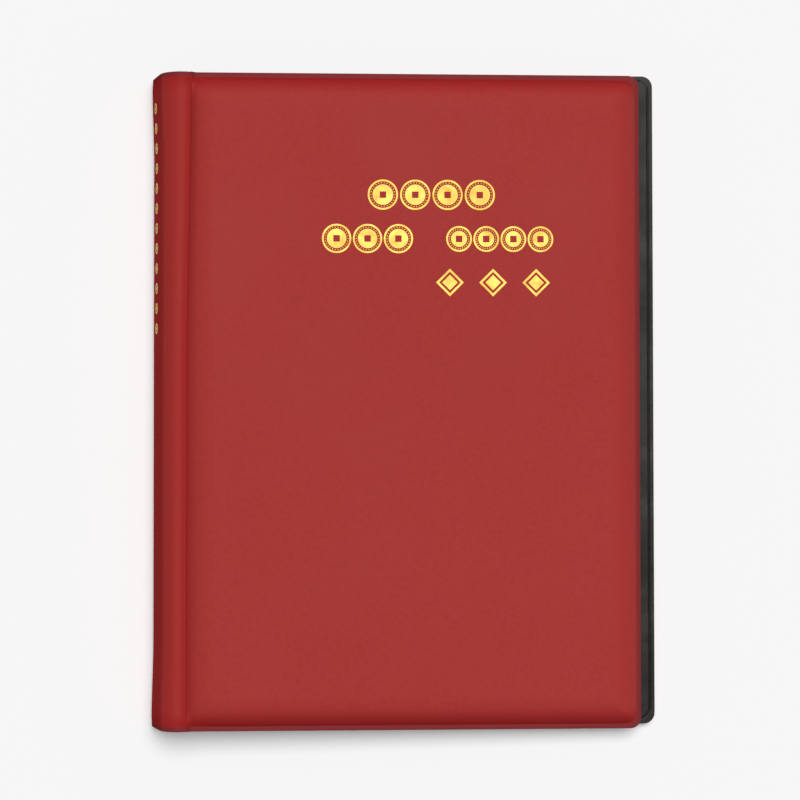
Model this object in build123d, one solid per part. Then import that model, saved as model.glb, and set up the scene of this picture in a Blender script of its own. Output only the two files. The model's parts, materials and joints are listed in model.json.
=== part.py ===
from build123d import *
import os
from math import atan, cos, degrees, radians, sin, sqrt, tan

# Padded PVC coin album, closed and lying on its back cover.
#
# Axes: +X from the spine to the fore edge, +Y from the foot to the head of the page, +Z up.
# Origin: middle of the bounding box in plan, on the surface that the back cover rests on.
# The sections below are drawn with x = 0 at the front groove's spine side. to_row() moves every
# finished piece by -X_CENTRE, which puts the middle of the closed album at x = 0.
#
# The album is a padded front and back panel, each a leatherette skin over foam and board with a
# vinyl lining welded round the rim, joined by a rounded spine that leans over a stapled binding
# block. Five leaves, each a black sheet with twelve clear pockets on both faces, fan about the
# front groove with the front panel.

# ---------------------------------------------------------------- driving dimensions, in mm

# cover panels
COVER_HEIGHT = 175.0
PANEL_WIDTH = 119.5
SKIN_T = 0.4
FOAM_T = 1.1
BOARD_T = 1.2
LINING_T = 0.3
LIP_WIDTH = 1.3            # welded rim, skin on lining
HINGE_LIP = 1.0            # the same rim beside the groove
CORNER_R = 3.0             # fore-edge corners of the panels
PAD_EDGE_R = 2.0           # roll of the padded area down to the rim
PAD_CORNER_EXTRA = 0.6     # the padded area's corners in plan are this much rounder than its roll
FOAM_ROLL_GAP = 0.1        # flat left on the foam's side under its rounded edge
BOARD_CLEARANCE = 0.1      # between the board's edge and the skin round it

# grooves and spine
GROOVE_WIDTH = 2.4
BACK_SHIFT = 3.9           # the back groove lies this far nearer the fore edge than the front one
SPINE_LEAN = 17.0          # degrees from upright
SHOULDER_R = 6.5           # round of the spine under the front groove
HEEL_R = 2.0               # round of the spine at the back
SHOULDER_FLAT = 0.1
STRIP_LIFT = 0.5           # underside of the spine above the resting surface
PAD_PROUD = 0.4            # the front panel stands this far above the spine at the groove
HINGE_RISE = 0.5           # the hinge line stands this far above the spine
SPINE_BOARD_T = 0.8
BOARD_ABOVE_HEEL = 0.3     # the spine board starts this far above the heel's round
BOARD_BELOW_SHOULDER = 2.0 # and ends this far below the shoulder's round
GLUE_T = 0.05              # between spine layers that lie on each other

# leaves
LEAVES = 5
LEAF_END_INSET = 3.5       # the cover overhangs the leaves this far at head and foot
LEAF_FORE_INSET = 2.7      # and this far at the fore edge
WEB_LENGTH = 8.0           # bare bending margin between the binding and the pockets
CORE_T = 0.24
FILM_T = 0.10
FILM_LIFT = 0.06           # room in an empty pocket
FLAP_GAP = 0.03            # between a pocket's film and the flap over it
LEAF_GAP = 0.08            # between one closed leaf and the next at the fore edge
LEAF_CORNER_R = 3.0
COLUMNS = 3
ROWS = 4
LEAF_BORDER = 2.0
WELD_WIDTH = 1.5
FLAP_HEIGHT = 9.0
FLAP_OVERLAP = 3.0         # how far a flap hangs over its pocket
FLAP_SLIT = 0.6
ROW_GAP = 1.0              # bare sheet between a flap's weld and the row above
SPACER_T = 2.04            # strip between two leaves at the binding

# binding block
BLOCK_SET_BACK = 0.3       # the block's face stands this far behind the front groove
STAPLES = 3
STAPLE_END_INSET = 29.0    # from the block's end to the middle of the last staple
STAPLE_CROWN = 12.0
STAPLE_CLINCH = 3.5
WIRE_R = 0.35
WIRE_CLEARANCE = 0.05
STAPLE_SET_BACK = 1.7      # from the front groove to the staples
BLOCK_HEADROOM = 0.47      # between the staples' crowns and the spine's lining
BLOCK_CLEARANCE = 0.2      # between the block and the spine round it

# foil stamping: plain coin outlines and lozenges
FOIL_T = 0.05
COIN_RING_W = 0.6
COIN_GAP = 0.5
LOZENGE = 7.4              # corner to corner
SPINE_COIN_R = 1.5
SPINE_COINS = 12
SPINE_COIN_PITCH = 5.4
SPINE_COIN_DROP = 8.5      # of the uppermost disc below the head
# each row: (drop below the head, last coin's inset from the fore edge, pitch, count, coin radius)
COIN_ROWS = (
    (32.9, 43.3, 8.6, 4, 4.05),
    (44.6, 65.0, 8.2, 3, 3.9),
    (44.6, 27.1, 7.25, 4, 3.45),
)
LOZENGE_ROW = (56.2, 28.3, 11.5, 3)

CUT_PAST = 1.0             # how far a cutting body runs past the faces that it cuts

# ---------------------------------------------------------------- derived places

PANEL_T = SKIN_T + FOAM_T + BOARD_T + LINING_T
BACK_GROOVE = BACK_SHIFT
BLOCK_FACE = -BLOCK_SET_BACK
PAD_CORNER_R = PAD_EDGE_R + PAD_CORNER_EXTRA
FLAP_LIFT = FILM_LIFT + FILM_T + FLAP_GAP
LEAF_T = CORE_T + 2 * (FLAP_LIFT + FILM_T)
LEAF_HEIGHT = COVER_HEIGHT - 2 * LEAF_END_INSET
LEAF_REACH = GROOVE_WIDTH + PANEL_WIDTH - LEAF_FORE_INSET - BLOCK_FACE
PITCH_AT_SPINE = SPACER_T + CORE_T
PITCH_AT_FORE_EDGE = LEAF_T + LEAF_GAP
STACK_AT_SPINE = LEAVES * PITCH_AT_SPINE
STACK_AT_FORE_EDGE = LEAVES * PITCH_AT_FORE_EDGE
SLOPE = atan((STACK_AT_SPINE - STACK_AT_FORE_EDGE) / LEAF_REACH)

FRONT_PANEL_X = GROOVE_WIDTH
FRONT_PANEL_Z = PANEL_T + STACK_AT_SPINE - (FRONT_PANEL_X - BLOCK_FACE) * tan(SLOPE)
BACK_PANEL_X = BACK_GROOVE + GROOVE_WIDTH
SPINE_TOP = PANEL_T + STACK_AT_SPINE + PANEL_T - PAD_PROUD

SPINE_COVER_T = SKIN_T + GLUE_T + LINING_T
LEAN = radians(SPINE_LEAN)
SHOULDER_X = -SHOULDER_FLAT                       # arc centre of the shoulder
SHOULDER_Z = SPINE_TOP - SHOULDER_R
TOP_CORNER_X = SHOULDER_X - SHOULDER_R * tan((radians(90) - LEAN) / 2)
HEEL_CORNER_X = TOP_CORNER_X - (SPINE_TOP - STRIP_LIFT) * tan(LEAN)
HEEL_X = HEEL_CORNER_X + HEEL_R / tan((radians(90) - LEAN) / 2)
HEEL_Z = STRIP_LIFT + HEEL_R

X_MIN = HEEL_X - HEEL_R
X_MAX = BACK_PANEL_X + PANEL_WIDTH
X_CENTRE = (X_MIN + X_MAX) / 2
HINGE_X = GROOVE_WIDTH / 2
HINGE_Z = SPINE_TOP + HINGE_RISE

BOARD_LOW = HEEL_Z + HEEL_R * sin(LEAN) + BOARD_ABOVE_HEEL
BOARD_HIGH = SHOULDER_Z + SHOULDER_R * sin(LEAN) - BOARD_BELOW_SHOULDER
LEG_HOLE_R = WIRE_R + WIRE_CLEARANCE
WIRE_BEND_R = LEG_HOLE_R                          # a leg is straight in its hole and bends round the rim
WIRE_SLOT = 2 * LEG_HOLE_R                        # room for a staple's crown or clinch
BLOCK_TOP = SPINE_TOP - SPINE_COVER_T - BLOCK_HEADROOM - WIRE_SLOT
BLOCK_BOTTOM = STRIP_LIFT + SPINE_COVER_T + WIRE_SLOT
STAPLE_X = -STAPLE_SET_BACK

ROW_PITCH = (LEAF_HEIGHT - 2 * LEAF_BORDER) / ROWS
FLAP_TOP = ROW_PITCH - ROW_GAP                    # above the foot of the row
POCKET_DEPTH = FLAP_TOP - FLAP_HEIGHT + FLAP_OVERLAP
COLUMN_X0 = WEB_LENGTH + LEAF_BORDER
COLUMN_X1 = LEAF_REACH - LEAF_BORDER
COLUMN_PITCH = (COLUMN_X1 - COLUMN_X0 - WELD_WIDTH) / COLUMNS


# ---------------------------------------------------------------- helpers


def to_row(shape):
    """Moves a shape drawn from the front groove to the album's own frame."""
    return Pos(-X_CENTRE, 0, 0) * shape


def box(x0, x1, y0, y1, z0, z1):
    """A box between its corner planes."""
    return Pos(x0, y0, z0) * Box(x1 - x0, y1 - y0, z1 - z0, align=(Align.MIN, Align.MIN, Align.MIN))


def prism(face, length):
    """Extrudes a face drawn as (x, z) to both sides of the XZ plane, over that length of Y."""
    return Rot(90, 0, 0) * extrude(face, length / 2, both=True)


def bar(points, length):
    """A prism along Y with straight sides between its (x, z) corners."""
    return prism(make_face(Polyline(*points, close=True)), length)


def fore_rounded(x0, x1, height, radius):
    """A rectangle in plan whose two corners on the +X side are rounded."""
    plate = Pos((x0 + x1) / 2, 0, 0) * Rectangle(x1 - x0, height)
    return fillet(plate.vertices().sort_by(Axis.X)[-2:], radius)


def rounded(x0, x1, height, radius):
    """A rectangle in plan with four rounded corners."""
    return Pos((x0 + x1) / 2, 0, 0) * RectangleRounded(x1 - x0, height, radius)


def crowned(x0, x1, height, radius, z0, z1, edge_r):
    """A plate with rounded corners whose upper rim is rolled over."""
    plate = Pos(0, 0, z0) * extrude(rounded(x0, x1, height, radius), z1 - z0)
    return fillet(plate.faces().sort_by(Axis.Z)[-1].edges(), edge_r)


# ---------------------------------------------------------------- cover panels


def roll_inset(height):
    """How far the inside of the skin's roll stands in at a height above the panel's underside."""
    radius = PAD_EDGE_R - SKIN_T
    rise = max(0.0, height - (PANEL_T - PAD_EDGE_R))
    return radius - sqrt(radius ** 2 - rise ** 2)


def panel_pieces():
    """Skin, foam, board and lining of one panel, lying with its lining at z = 0 and its groove side
    at x = 0."""
    outline = fore_rounded(0, PANEL_WIDTH, COVER_HEIGHT, CORNER_R)
    pad_x0, pad_x1 = HINGE_LIP, PANEL_WIDTH - LIP_WIDTH
    pad_height = COVER_HEIGHT - 2 * LIP_WIDTH
    lining = extrude(outline, LINING_T)
    lip = Pos(0, 0, LINING_T) * extrude(outline, SKIN_T)
    pad = crowned(pad_x0, pad_x1, pad_height, PAD_CORNER_R, LINING_T, PANEL_T, PAD_EDGE_R)
    hollow = crowned(
        pad_x0 + SKIN_T,
        pad_x1 - SKIN_T,
        pad_height - 2 * SKIN_T,
        PAD_CORNER_R - SKIN_T,
        LINING_T,
        PANEL_T - SKIN_T,
        PAD_EDGE_R - SKIN_T,
    )
    skin = lip + pad - hollow
    foam_edge_r = FOAM_T - FOAM_ROLL_GAP
    foam_inset = PAD_EDGE_R - foam_edge_r
    board_inset = SKIN_T + roll_inset(LINING_T + BOARD_T) + BOARD_CLEARANCE
    foam = crowned(
        pad_x0 + foam_inset,
        pad_x1 - foam_inset,
        pad_height - 2 * foam_inset,
        PAD_CORNER_R - foam_inset,
        LINING_T + BOARD_T,
        PANEL_T - SKIN_T,
        foam_edge_r,
    )
    board_plan = rounded(
        pad_x0 + board_inset,
        pad_x1 - board_inset,
        pad_height - 2 * board_inset,
        PAD_CORNER_R - board_inset,
    )
    board = Pos(0, 0, LINING_T) * extrude(board_plan, BOARD_T)
    return {"cover_skin": skin, "foam_pad": foam, "board": board, "lining": lining}


def front_place():
    """Where the front panel's own frame lies: sloping down from the groove to the fore edge."""
    return Pos(FRONT_PANEL_X, 0, FRONT_PANEL_Z) * Rot(0, degrees(SLOPE), 0)


def back_place():
    """Where the back panel's own frame lies: flat, lining up."""
    return Pos(BACK_PANEL_X, 0, PANEL_T) * Rot(180, 0, 0)


# ---------------------------------------------------------------- spine


def lean_x(z, inset):
    """x of the spine's straight leaning face at height z, moved inwards by inset."""
    return TOP_CORNER_X - (SPINE_TOP - z) * tan(LEAN) + inset / cos(LEAN)


def spine_x(z, inset):
    """x of the spine's whole outline at height z, moved inwards by inset."""
    on_shoulder = SHOULDER_Z + (SHOULDER_R - inset) * sin(LEAN)
    on_heel = HEEL_Z + (HEEL_R - inset) * sin(LEAN)
    if z > on_shoulder:
        return SHOULDER_X - sqrt(max(0.0, (SHOULDER_R - inset) ** 2 - (z - SHOULDER_Z) ** 2))
    if z < on_heel:
        return HEEL_X - sqrt(max(0.0, (HEEL_R - inset) ** 2 - (HEEL_Z - z) ** 2))
    return lean_x(z, inset)


def spine_line(inset):
    """The spine's outline from the front groove round to the back groove, moved inwards."""
    top, bottom = SPINE_TOP - inset, STRIP_LIFT + inset
    corners = [(0, top), (lean_x(top, inset), top), (lean_x(bottom, inset), bottom), (BACK_GROOVE, bottom)]
    return FilletPolyline(*corners, radius=[SHOULDER_R - inset, HEEL_R - inset])


def spine_band(outer, inner):
    """A layer of the spine between two insets, as long as the cover is high."""
    outside, inside = spine_line(outer), spine_line(inner)
    ends = [Line(outside @ 0, inside @ 0), Line(outside @ 1, inside @ 1)]
    return prism(make_face([*outside.edges(), *inside.edges(), *ends]), COVER_HEIGHT)


def spine_board():
    """The stiffener strip behind the leaning face."""
    outer = SPINE_COVER_T + GLUE_T
    inner = outer + SPINE_BOARD_T
    points = [
        (lean_x(BOARD_HIGH, outer), BOARD_HIGH),
        (lean_x(BOARD_LOW, outer), BOARD_LOW),
        (lean_x(BOARD_LOW, inner), BOARD_LOW),
        (lean_x(BOARD_HIGH, inner), BOARD_HIGH),
    ]
    return bar(points, COVER_HEIGHT - 2 * LIP_WIDTH)


def front_web():
    """Skin and lining welded together in the front groove, from the spine down to the panel's rim."""
    t = SKIN_T + LINING_T
    points = [
        (0, SPINE_TOP),
        (FRONT_PANEL_X + t * sin(SLOPE), FRONT_PANEL_Z + t * cos(SLOPE)),
        (FRONT_PANEL_X, FRONT_PANEL_Z),
        (0, SPINE_TOP - t),
    ]
    return bar(points, COVER_HEIGHT)


def back_web():
    """The same weld in the back groove."""
    t = SKIN_T + LINING_T
    points = [
        (BACK_GROOVE, STRIP_LIFT),
        (BACK_PANEL_X, PANEL_T - t),
        (BACK_PANEL_X, PANEL_T),
        (BACK_GROOVE, STRIP_LIFT + t),
    ]
    return bar(points, COVER_HEIGHT)


# ---------------------------------------------------------------- binding block


def leaf_z(number):
    """Height of a leaf's middle where it enters the binding, leaf 1 being the uppermost."""
    return PANEL_T + (LEAVES + 0.5 - number) * PITCH_AT_SPINE


def block_layer(z_low, z_high):
    """One layer of the block, as deep as the spine leaves room for, with its staple holes."""
    inset = SPINE_COVER_T + BLOCK_CLEARANCE
    if z_low < BOARD_HIGH:
        inset += SPINE_BOARD_T + GLUE_T
    x_left = max(spine_x(z_high, inset), spine_x(z_low, inset))
    strip = box(x_left, BLOCK_FACE, -LEAF_HEIGHT / 2, LEAF_HEIGHT / 2, z_low, z_high)
    hole = Cylinder(LEG_HOLE_R, z_high - z_low + 2 * CUT_PAST)
    for y in staple_ys():
        for leg in (-1, 1):
            strip -= Pos(STAPLE_X, y + leg * STAPLE_CROWN / 2, (z_low + z_high) / 2) * hole
    return strip


def staple_ys():
    """The middle of each staple along the spine."""
    last = LEAF_HEIGHT / 2 - STAPLE_END_INSET
    return [last * (2 * n / (STAPLES - 1) - 1) for n in range(STAPLES)]


def margins():
    """The bound edge of each leaf's black sheet."""
    half = CORE_T / 2
    return [block_layer(leaf_z(n) - half, leaf_z(n) + half) for n in range(1, LEAVES + 1)]


def spacers():
    """The strips that hold the leaves apart at the binding."""
    edges = [BLOCK_TOP]
    for n in range(1, LEAVES + 1):
        edges += [leaf_z(n) + CORE_T / 2, leaf_z(n) - CORE_T / 2]
    edges.append(BLOCK_BOTTOM)
    return [block_layer(low, high) for high, low in zip(edges[0::2], edges[1::2])]


def staple(y):
    """A wire staple through the block, crown up, both legs clinched inwards underneath."""
    crown_z = BLOCK_TOP + WIRE_BEND_R
    clinch_z = BLOCK_BOTTOM - WIRE_BEND_R
    half = STAPLE_CROWN / 2
    points = [
        (STAPLE_X, y - half + STAPLE_CLINCH, clinch_z),
        (STAPLE_X, y - half, clinch_z),
        (STAPLE_X, y - half, crown_z),
        (STAPLE_X, y + half, crown_z),
        (STAPLE_X, y + half, clinch_z),
        (STAPLE_X, y + half - STAPLE_CLINCH, clinch_z),
    ]
    path = FilletPolyline(*points, radius=WIRE_BEND_R)
    start = Plane(origin=path @ 0, z_dir=path % 0)
    return sweep(start * Circle(WIRE_R), path=path)


# ---------------------------------------------------------------- leaves


def leaf_slope(number):
    """How far a leaf slopes down to the fore edge, in radians."""
    at_fore_edge = PANEL_T + (LEAVES + 0.5 - number) * PITCH_AT_FORE_EDGE
    return atan((leaf_z(number) - at_fore_edge) / LEAF_REACH)


def leaf_place(number):
    """Where a leaf's own frame lies: x = 0 at the binding, z = 0 in the middle of its black sheet."""
    return Pos(BLOCK_FACE, 0, leaf_z(number)) * Rot(0, degrees(leaf_slope(number)), 0)


def hinge_web(number):
    """The bare margin of a leaf's black sheet, which bends when the leaf turns."""
    slope = leaf_slope(number)
    half = CORE_T / 2
    end_x = BLOCK_FACE + WEB_LENGTH * cos(slope)
    end_z = leaf_z(number) - WEB_LENGTH * sin(slope)
    points = [
        (BLOCK_FACE, leaf_z(number) + half),
        (end_x + half * sin(slope), end_z + half * cos(slope)),
        (end_x - half * sin(slope), end_z - half * cos(slope)),
        (BLOCK_FACE, leaf_z(number) - half),
    ]
    return bar(points, LEAF_HEIGHT)


def core():
    """The leaf's black sheet beyond its bending margin."""
    plan = fore_rounded(WEB_LENGTH, LEAF_REACH, LEAF_HEIGHT, LEAF_CORNER_R)
    return Pos(0, 0, -CORE_T / 2) * extrude(plan, CORE_T)


def row_y(row):
    """Foot of a row of pockets, row 0 being the lowest."""
    return -LEAF_HEIGHT / 2 + LEAF_BORDER + row * ROW_PITCH


def pocket_strip(row):
    """A clear strip welded along its foot and between its pockets, open towards the head."""
    y0, y1 = row_y(row), row_y(row) + POCKET_DEPTH
    base = CORE_T / 2
    film = box(COLUMN_X0, COLUMN_X1, y0, y1, base + FILM_LIFT, base + FILM_LIFT + FILM_T)
    strip = film + box(COLUMN_X0, COLUMN_X1, y0, y0 + WELD_WIDTH, base, base + FILM_LIFT)
    for column in range(COLUMNS + 1):
        x = COLUMN_X0 + column * COLUMN_PITCH
        strip += box(x, x + WELD_WIDTH, y0, y1, base, base + FILM_LIFT)
    return strip


def flap_strip(row):
    """A clear strip welded above the pockets' mouths and hanging over them, one tongue a pocket."""
    y1 = row_y(row) + FLAP_TOP
    y0 = y1 - FLAP_HEIGHT
    base = CORE_T / 2
    strip = box(COLUMN_X0, COLUMN_X1, y0, y1, base + FLAP_LIFT, base + FLAP_LIFT + FILM_T)
    strip += box(COLUMN_X0, COLUMN_X1, y1 - WELD_WIDTH, y1, base, base + FLAP_LIFT)
    top = base + FLAP_LIFT + FILM_T + CUT_PAST
    for column in range(1, COLUMNS):
        x = COLUMN_X0 + column * COLUMN_PITCH + WELD_WIDTH / 2
        half = FLAP_SLIT / 2
        strip -= box(x - half, x + half, y0 - CUT_PAST, y1 - WELD_WIDTH, base, top)
    return strip


def other_face(shape):
    """Turns a shape on a leaf's upper face over to its lower face, keeping its foot at the foot."""
    return mirror(shape, about=Plane.XY)


def leaf_pieces():
    """The pieces of one leaf that turn together, in its own frame."""
    pockets = [pocket_strip(row) for row in range(ROWS)]
    flaps = [flap_strip(row) for row in range(ROWS)]
    return {
        "core": [core()],
        "front_pockets": pockets,
        "back_pockets": [other_face(s) for s in pockets],
        "front_flaps": flaps,
        "back_flaps": [other_face(s) for s in flaps],
    }


# ---------------------------------------------------------------- foil


def coin_outline(radius):
    """A flat ring round a flat disc."""
    ring = Circle(radius) - Circle(radius - COIN_RING_W)
    disc = Circle(radius - COIN_RING_W - COIN_GAP)
    return [extrude(ring, FOIL_T), extrude(disc, FOIL_T)]


def title_foil():
    """Rows of coin outlines and lozenges on the front panel, in the panel's own frame."""
    pieces = []
    for drop, inset, pitch, count, radius in COIN_ROWS:
        for n in range(count):
            at = Pos(PANEL_WIDTH - inset - n * pitch, COVER_HEIGHT / 2 - drop, PANEL_T)
            pieces += [at * piece for piece in coin_outline(radius)]
    drop, inset, pitch, count = LOZENGE_ROW
    side = LOZENGE / sqrt(2)
    for n in range(count):
        at = Pos(PANEL_WIDTH - inset - n * pitch, COVER_HEIGHT / 2 - drop, PANEL_T)
        pieces.append(at * extrude(Rot(0, 0, 45) * Rectangle(side, side), FOIL_T))
    return pieces


def spine_foil():
    """A column of small discs on the spine's leaning face."""
    z = (SHOULDER_Z + HEEL_Z) / 2
    face = Plane(origin=(lean_x(z, 0), 0, z), x_dir=(0, 1, 0), z_dir=(-cos(LEAN), 0, sin(LEAN)))
    discs = []
    for n in range(SPINE_COINS):
        along = COVER_HEIGHT / 2 - SPINE_COIN_DROP - n * SPINE_COIN_PITCH
        disc = Pos(along, 0, 0) * extrude(Circle(SPINE_COIN_R), FOIL_T)
        discs.append(face.location * disc)
    return discs


# ---------------------------------------------------------------- the whole album


def album():
    """Every piece of the album by node name, each a list of solids in the section's frame."""
    nodes = {}
    for name, piece in panel_pieces().items():
        nodes["front_" + name] = [front_place() * piece]
        nodes["back_" + name] = [back_place() * piece]
    nodes["title_foil"] = [front_place() * piece for piece in title_foil()]
    nodes["spine_skin"] = [spine_band(0, SKIN_T)]
    nodes["spine_lining"] = [spine_band(SKIN_T + GLUE_T, SPINE_COVER_T)]
    nodes["spine_board"] = [spine_board()]
    nodes["spine_foil"] = spine_foil()
    nodes["front_hinge_web"] = [front_web()]
    nodes["back_hinge_web"] = [back_web()]
    nodes["leaf_margins"] = margins()
    nodes["binding_spacers"] = spacers()
    nodes["binding_staples"] = [staple(y) for y in staple_ys()]
    pieces = leaf_pieces()
    for number in range(1, LEAVES + 1):
        place = leaf_place(number)
        nodes[f"leaf_{number}_hinge_web"] = [hinge_web(number)]
        for name, solids in pieces.items():
            nodes[f"leaf_{number}_{name}"] = [place * solid for solid in solids]
    return nodes


def main():
    os.makedirs("parts", exist_ok=True)
    for name, pieces in album().items():
        solids = [solid for piece in pieces for solid in to_row(piece).solids()]
        shape = solids[0] if len(solids) == 1 else Compound(children=solids)
        export_step(shape, f"parts/{name}.step")
    print("hinge axis x, z:", round(HINGE_X - X_CENTRE, 4), round(HINGE_Z, 4))
    print("front slope, degrees:", round(degrees(SLOPE), 4))
    print("box x:", round(X_MIN - X_CENTRE, 3), round(X_MAX - X_CENTRE, 3))


main()
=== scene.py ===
import json
from math import asin, atan, cos, hypot, pi, radians, sin, sqrt, tan
import bmesh
import bpy
import numpy as np
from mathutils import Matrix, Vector


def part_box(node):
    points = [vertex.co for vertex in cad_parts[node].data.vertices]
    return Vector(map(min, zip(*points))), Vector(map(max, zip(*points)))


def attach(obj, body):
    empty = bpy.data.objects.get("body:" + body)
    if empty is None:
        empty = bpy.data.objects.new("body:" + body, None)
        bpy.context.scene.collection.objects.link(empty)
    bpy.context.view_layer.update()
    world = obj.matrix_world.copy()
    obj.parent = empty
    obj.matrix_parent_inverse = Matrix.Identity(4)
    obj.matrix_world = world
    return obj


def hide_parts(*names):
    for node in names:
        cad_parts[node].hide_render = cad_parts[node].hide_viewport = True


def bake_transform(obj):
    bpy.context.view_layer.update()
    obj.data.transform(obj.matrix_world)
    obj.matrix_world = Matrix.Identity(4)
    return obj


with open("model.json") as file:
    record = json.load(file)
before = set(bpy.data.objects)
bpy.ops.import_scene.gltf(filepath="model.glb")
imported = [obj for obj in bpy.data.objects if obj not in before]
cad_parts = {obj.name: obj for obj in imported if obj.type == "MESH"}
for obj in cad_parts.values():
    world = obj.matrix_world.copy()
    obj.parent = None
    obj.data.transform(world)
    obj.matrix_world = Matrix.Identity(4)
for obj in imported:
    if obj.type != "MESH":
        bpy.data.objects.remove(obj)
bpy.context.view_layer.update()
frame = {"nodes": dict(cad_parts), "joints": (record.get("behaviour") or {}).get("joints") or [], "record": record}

# Looks of the padded coin album. Everything is in metres in the CAD frame: +X from the spine to the
# fore edge, +Y from foot to head, +Z up through the front cover.

MM = 0.001

# ---------------------------------------------------------------- sizes

SKIN_T = 0.4 * MM
LINING_T = 0.3 * MM
GLUE_T = 0.05 * MM
CORE_T = 0.24 * MM
LIP_WIDTH = 1.3 * MM
CORNER_R = 3.0 * MM
PAD_CORNER_R = 3.0 * MM
PAD_ROLL = 7.5 * MM          # how far in from its edge the padding reaches its full height
PAD_POWER = 2.5              # fullness of that roll
PAD_CROWN = 1.6 * MM         # the front padding swells this far above its board's own plane
PAD_RISE = 9.0 * MM          # over this far from the groove
BACK_PAD_RISE = 4.0 * MM
RISE_LEAD = 0.5 * MM         # the padding starts to rise this far on the spine's side of the groove
SHADE_REACH = 5.0 * MM           # painted shade: the skin is darker over this much of the padding at head and foot
GROOVE_SHADE = 0.7         # and painted shade in the groove, by this share of that
FOAM_INSET = 1.3 * MM        # of foam and board from the padding's edge
BOARD_T = 1.2 * MM
LIP_DROOP = 0.45 * MM        # the fore edge's rim sags this far
SPINE_FLARE = 0.5 * MM       # the spine's ends stand out this far
SPINE_FLARE_REACH = 24 * MM
SPINE_ROLL = 2.6 * MM
SPINE_LIP_DROP = 0.12 * MM
RIM_ROUND = 0.3 * MM
RIM_DROP = 0.6               # the rounded rim falls away by this share of its radius
GROOVE_WIDTH = 2.4 * MM
SHOULDER_R = 6.5 * MM
SHOULDER_FLAT = 0.1 * MM
HEEL_R = 2.0 * MM
LEAN = radians(17)
UPRIGHT = 0.8                # skin whose normal leans this far to the spine's side gets a shaded copy of the leatherette that reflects nothing
SPLIT_X = 4.0 * MM           # the two leatherette pieces meet this far behind the groove, underneath
WEB_LENGTH = 8.0 * MM
LEAVES = 5
BACK_RACK = 0.7 * MM         # the back cover is turned in its plane, its fore edge this far to the head
WELD_DENT = 0.1 * MM         # of the rim's weld line, seen from the lining's side
WELD_LINE = 0.22 * MM        # half its width

# pockets and flaps
COLUMNS = 3
ROWS = 4
POCKET_WELD = 1.5 * MM
RIB_PITCH = 0.4 * MM         # of the ribs pressed into a weld

# foil stamping
FOIL_T = 0.05 * MM
FOIL_SUNK = 0.05 * MM        # the foil's underside lies this deep in the skin
COIN_RING = 0.5 * MM
COIN_BEADS = 26
BEAD_R = 0.17 * MM
BEAD_INSET = 0.88 * MM       # from the coin's rim to its circle of beads
CORE_INSET = 1.3 * MM        # from the coin's rim to its middle disc
CORE_HOLE = 0.85 * MM        # half the middle disc's square hole
LOZENGE_BORDER = 0.6 * MM
LOZENGE_GAP = 0.55 * MM
DISC_HOLE = 0.62             # shares of a spine disc's radius: its ring's hole and its dot
DISC_DOT = 0.36
OUTLINE_POINTS = 48
BEAD_POINTS = 10

# the front groove: a narrow weld line in a wide shallow dip, as (depth, width)
GROOVE_LINE = (0.3 * MM, 0.5 * MM)
GROOVE_DIP = (0.85 * MM, 1.9 * MM)
GROOVE_TO_SPINE = 0.7 * MM   # the groove's deepest line lies this far on the spine's side of the hinge
GROOVE_SWAY = 1.1 * MM       # and swings this far to the fore edge at the head
SWAY_REACH = 4.0 * MM

# how far from a groove the stations across a cover change their spacing
FINE_REACH = 6 * MM
PANEL_FROM = 22 * MM
STATION_GAP = 1 * MM
RIM_FROM = 8 * MM

# camera, light and floor
CAMERA_PLACE = (-0.4 * MM, -17.6 * MM, 633.5 * MM)
CAMERA_TURN = (radians(1.637), radians(0.05), radians(-0.07))
CAMERA_LENS = 105
CAMERA_SENSOR = 36
KEY_PLACE = (0.14, 0.27, 1.25)
KEY_SPREAD = radians(40)
KEY_STRENGTH = 3.0
WORLD_STRENGTH = 0.07
FLOOR_SIZE = 40

# ---------------------------------------------------------------- places from the frame

record = frame["record"]
HINGE = Vector(next(joint["pos_m"] for joint in frame["joints"] if joint["name"] == "cover_hinge"))
GROOVE_CENTRE = HINGE.x - GROOVE_TO_SPINE

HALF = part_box("spine_skin")[1].y
GROOVE_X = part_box("front_hinge_web")[0].x
SPINE_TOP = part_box("front_hinge_web")[1].z
STRIP_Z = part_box("spine_skin")[0].z
SPINE_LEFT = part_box("spine_skin")[0].x
PANEL_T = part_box("back_lining")[1].z
PANEL_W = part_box("back_cover_skin")[1].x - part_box("back_cover_skin")[0].x
LINING_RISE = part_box("front_lining")[1].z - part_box("front_lining")[0].z
SLOPE = asin(LINING_RISE / hypot(PANEL_W, LINING_T)) - atan(LINING_T / PANEL_W)
LIP_T = SKIN_T + LINING_T
SPINE_T = LIP_T + GLUE_T
FRONT_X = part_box("front_lining")[0].x
FRONT_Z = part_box("front_lining")[1].z - LINING_T * cos(SLOPE)
FRONT_END = FRONT_X + PANEL_W * cos(SLOPE) + LIP_T * sin(SLOPE)
BACK_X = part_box("back_cover_skin")[0].x
BACK_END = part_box("back_cover_skin")[1].x
BACK_GROOVE = BACK_X - GROOVE_WIDTH
BACK_GROOVE_CENTRE = BACK_GROOVE + GROOVE_WIDTH / 2
LEAF_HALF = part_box("leaf_1_core")[1].y
LEAF_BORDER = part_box("leaf_1_front_pockets")[0].y + LEAF_HALF
SHOULDER_X = GROOVE_X - SHOULDER_FLAT
SHOULDER_Z = SPINE_TOP - SHOULDER_R
HEEL_X = SPINE_LEFT + HEEL_R
HEEL_Z = STRIP_Z + HEEL_R

# ---------------------------------------------------------------- mesh helpers

# distances in from the rim where the surface needs its finest rows
RIM_ROWS = np.array([0, 0.05, 0.12, 0.22, 0.35, 0.6, 0.9, 1.15, 1.27, 1.31, 1.37, 1.46, 1.6, 1.8, 2.05,
                     2.35, 2.7, 3.1, 3.6, 4.2, 5.0, 6.0, 7.5, 9.5, 12.0, 15.0]) * MM

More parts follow.
